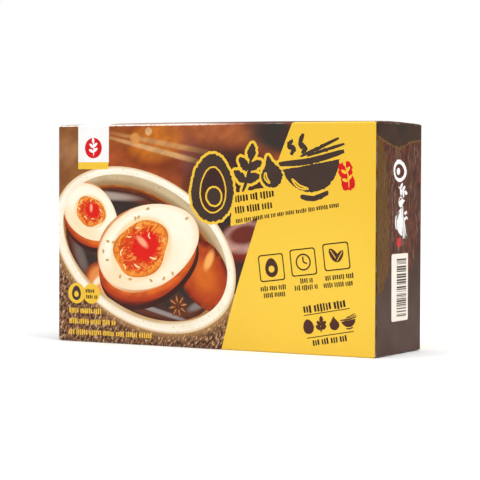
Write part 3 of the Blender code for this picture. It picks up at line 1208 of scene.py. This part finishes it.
def yolk_ink(name, yolk):
    """A soft yolk: a thick golden border round a wet red heart."""
    ink = Ink(name)
    (x, y), (long, wide), tilt = yolk
    edge = ink.oval(*yolk)
    grain = ink.noise(long * 0.16, 5, tilt, 1.4, 1.6)
    colour = ink.tint((220, 62, 14), (240, 146, 46), ink.scaled_add(edge, grain, 0.5), 0.9, 1.2)
    colour = ink.tint(colour, (250, 184, 88), grain, 0.52, 0.64, 0.55)
    colour = ink.tint(colour, (186, 70, 18), grain, 0.44, 0.36, 0.75)
    middle = (x + long * 0.16, y + wide * 0.1)
    heart = ink.scaled_add(ink.oval(middle, (long * 0.5, wide * 0.52), tilt), grain, 0.7)
    colour = ink.tint(colour, (222, 26, 14), heart, 1.5, 1.22)
    shine = (middle[0] - long * 0.12, middle[1] + wide * 0.16)
    colour = ink.shaded(colour, ((shine, (long * 0.09, long * 0.22), tilt + 20, 0.5, (255, 168, 130)),))
    return ink.varnish(ink.tint(colour, (206, 98, 24), edge, 0.9, 1.03, 0.8), 0.32)


def end_inks():
    """The small ends: plain brown below, painted lighter toward the bottom as a reflection of the floor,
    streaked sauce over it, and dark under the top fold.
    """
    ground = Ink("end_ground")
    # Painted reflection of the floor: the plain brown turns lighter toward the bottom.
    colour = ground.tint((76, 52, 42), (88, 65, 56), ground.along(1), 52, 4)
    colour = ground.tint(colour, (68, 46, 38), ground.noise(18, 4), 0.35, 0.7, 0.35)

    sauce = Ink("end_sauce")
    streaks = sauce.noise(0.9, 5, 84, 6, 0.3)
    broad = sauce.noise(4, 4, 80, 4, 0.6)
    body = sauce.tint((66, 38, 27), (116, 64, 44), streaks, 0.40, 0.62)
    body = sauce.tint(body, (60, 40, 32), broad, 0.5, 0.66, 0.7)
    reddish = sauce.sum("MULTIPLY", sauce.spread(broad, 0.48, 0.38), sauce.spread(streaks, 0.42, 0.56))
    body = sauce.blend(reddish, body, (118, 60, 44))
    band = sauce.scaled_add(sauce.oval((-22.5, 74), (8.5, 50), 3), broad, 0.7)
    speckled = sauce.spread(sauce.noise(1.5, 4, 70, 1.8), 0.44, 0.54, 0.4, 1)
    body = sauce.blend(sauce.sum("MULTIPLY", sauce.spread(band, 1.48, 1.38), speckled), body, (101, 70, 16))

    dark = Ink("end_dark")
    shade = dark.tint((68, 47, 34), (57, 40, 31), dark.noise(16, 4), 0.3, 0.7)
    made = {"end_ground": (ground, colour), "end_sauce": (sauce, body), "end_dark": (dark, shade)}
    return {name: ink.varnish(top, 0.4, 0.02, 0.08) for name, (ink, top) in made.items()}


def top_ground_ink():
    ink = Ink("top_ground")
    ground = ink.tint((96, 52, 38), (74, 46, 38), ink.noise(40), 0.3, 0.7)
    return ink.varnish(ink.shaded(ground, (
        ((-70, TOP_MIDDLE - 6), (52, 30), 4, 0.7, (150, 84, 46)),
        ((30, TOP_MIDDLE + 20), (60, 16), 0, 0.7, (62, 46, 40)),
    )))


def raw_board():
    """The board's inside and its cut edges."""
    ink = Ink("raw_board")
    fibres = ink.spread(ink.noise(0.8, 5, 0, 3), 0.3, 0.7)
    return ink.shade(
        Base_Color=ink.blend(fibres, (214, 206, 192), (190, 180, 164)),
        Roughness=ink.spread(fibres, 0, 1, 0.78, 0.9),
        Normal=ink.relief(ink.noise(0.5, 4), 0.3, 0.0002),
    )


def all_inks():
    return {
        **{name: plain_ink(name, *look) for name, look in PLAIN_INKS.items()},
        "yellow": yellow_ink(),
        "backdrop": backdrop_ink(),
        "stoneware": stoneware_ink(),
        "top_ground": top_ground_ink(),
        "raw_board": raw_board(),
        **bowl_inks(),
        **egg_inks(),
        **end_inks(),
    }


# The carton

def carton_pieces(inks):
    tube_folds = [((-END, v), (END, v)) for v in (0, HEIGHT, TOP_BACK, BACK_LOW)]
    for low, high in ((-DEPTH, 0), (HEIGHT, TOP_BACK)):
        tube_folds += [((side * DUST_FACE, low), (side * DUST_FACE, high)) for side in (-1, 1)]
    tube = folded_sheet("carton_tube", tube_outline(), tube_print(), tube_lattice(),
                        tube_point, "back_ground", tube_folds, inks)
    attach(tube, "root")
    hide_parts("carton")
    for side, name in ((1, "closure_right"), (-1, "closure_left")):
        folds = [((across, 0), (across, HEIGHT)) for across in (side * DEPTH / 2, side * TUCK_FOLD)]
        flap = folded_sheet(name, closure_outline(side), end_print(side > 0), closure_lattice(side),
                            closure_point(side), "end_ground", folds, inks)
        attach(flap, "root")


# Studio

def studio_floor(half=12):
    """A pale matt floor, large enough to meet the white room at the horizon."""
    mesh = bpy.data.meshes.new("studio_floor")
    mesh.from_pydata([(*corner, 0) for corner in box((-half, -half), (half, half))], [], [(0, 1, 2, 3)])
    material = bpy.data.materials.new("pale_floor")
    material.use_nodes = True
    tree = material.node_tree
    shader = tree.nodes["Principled BSDF"]
    cloud = add_node(tree, "TexNoise", {"Scale": 3})
    join(tree, shader.inputs["Roughness"], add_node(tree, "MapRange", {0: cloud, 3: 0.8, 4: 0.9}))
    shader.inputs["Base Color"].default_value = (0.94, 0.94, 0.94, 1)
    shader.inputs["Specular IOR Level"].default_value = 0.1
    mesh.materials.append(material)
    linked("studio_floor", mesh)


def lamp(kind, name, place, target, strength):
    """A lamp of a kind at place, turned to target."""
    light = bpy.data.lights.new(name, kind)
    light.energy = strength
    made = linked(name, light)
    made.location = place
    made.rotation_euler = (Vector(target) - Vector(place)).to_track_quat("-Z", "Y").to_euler()
    return light


def soft_box(name, place, target, size, watts):
    light = lamp("AREA", name, place, target, watts)
    light.shape = "RECTANGLE"
    light.size, light.size_y = size


def studio_light():
    """Two soft boxes, a wide soft light overhead and a dim room, whose walls look white."""
    aim = (0, 0, 0.06)
    soft_box("key_light", (-1.3, -1.5, 1.3), aim, (1.4, 1.2), 7)
    soft_box("side_light", (1.9, -0.6, 1.2), aim, (1, 1), 16)
    overhead = lamp("SUN", "overhead_light", (0, -0.2, 2), aim, 2.85)
    overhead.angle = math.radians(70)
    world = bpy.data.worlds.new("studio_world")
    world.use_nodes = True
    tree = world.node_tree
    room, wall = (add_node(tree, "Background", {0: (1, 1, 1, 1), 1: light}) for light in (0.22, 1))
    seen = add_node(tree, "LightPath", {}, "Is Camera Ray")
    surface = add_node(tree, "MixShader", {0: seen, 1: room, 2: wall})
    join(tree, tree.nodes["World Output"].inputs["Surface"], surface)
    bpy.context.scene.world = world
    bpy.context.scene.view_settings.view_transform = "Standard"


def studio_camera():
    data = bpy.data.cameras.new("camera")
    data.lens = CAMERA_LENS
    data.sensor_width = CAMERA_SENSOR
    data.clip_start, data.clip_end = 0.05, 60
    turn = Matrix.Rotation(math.radians(CAMERA_YAW), 4, "Z")
    turn @= Matrix.Rotation(math.radians(90 + CAMERA_PITCH), 4, "X")
    turn @= Matrix.Rotation(math.radians(CAMERA_ROLL), 4, "Z")
    camera = linked("camera", data)
    camera.matrix_world = Matrix.Translation(CAMERA_PLACE) @ turn
    bpy.context.scene.camera = camera


carton_pieces(all_inks())
studio_floor()
studio_light()
studio_camera()
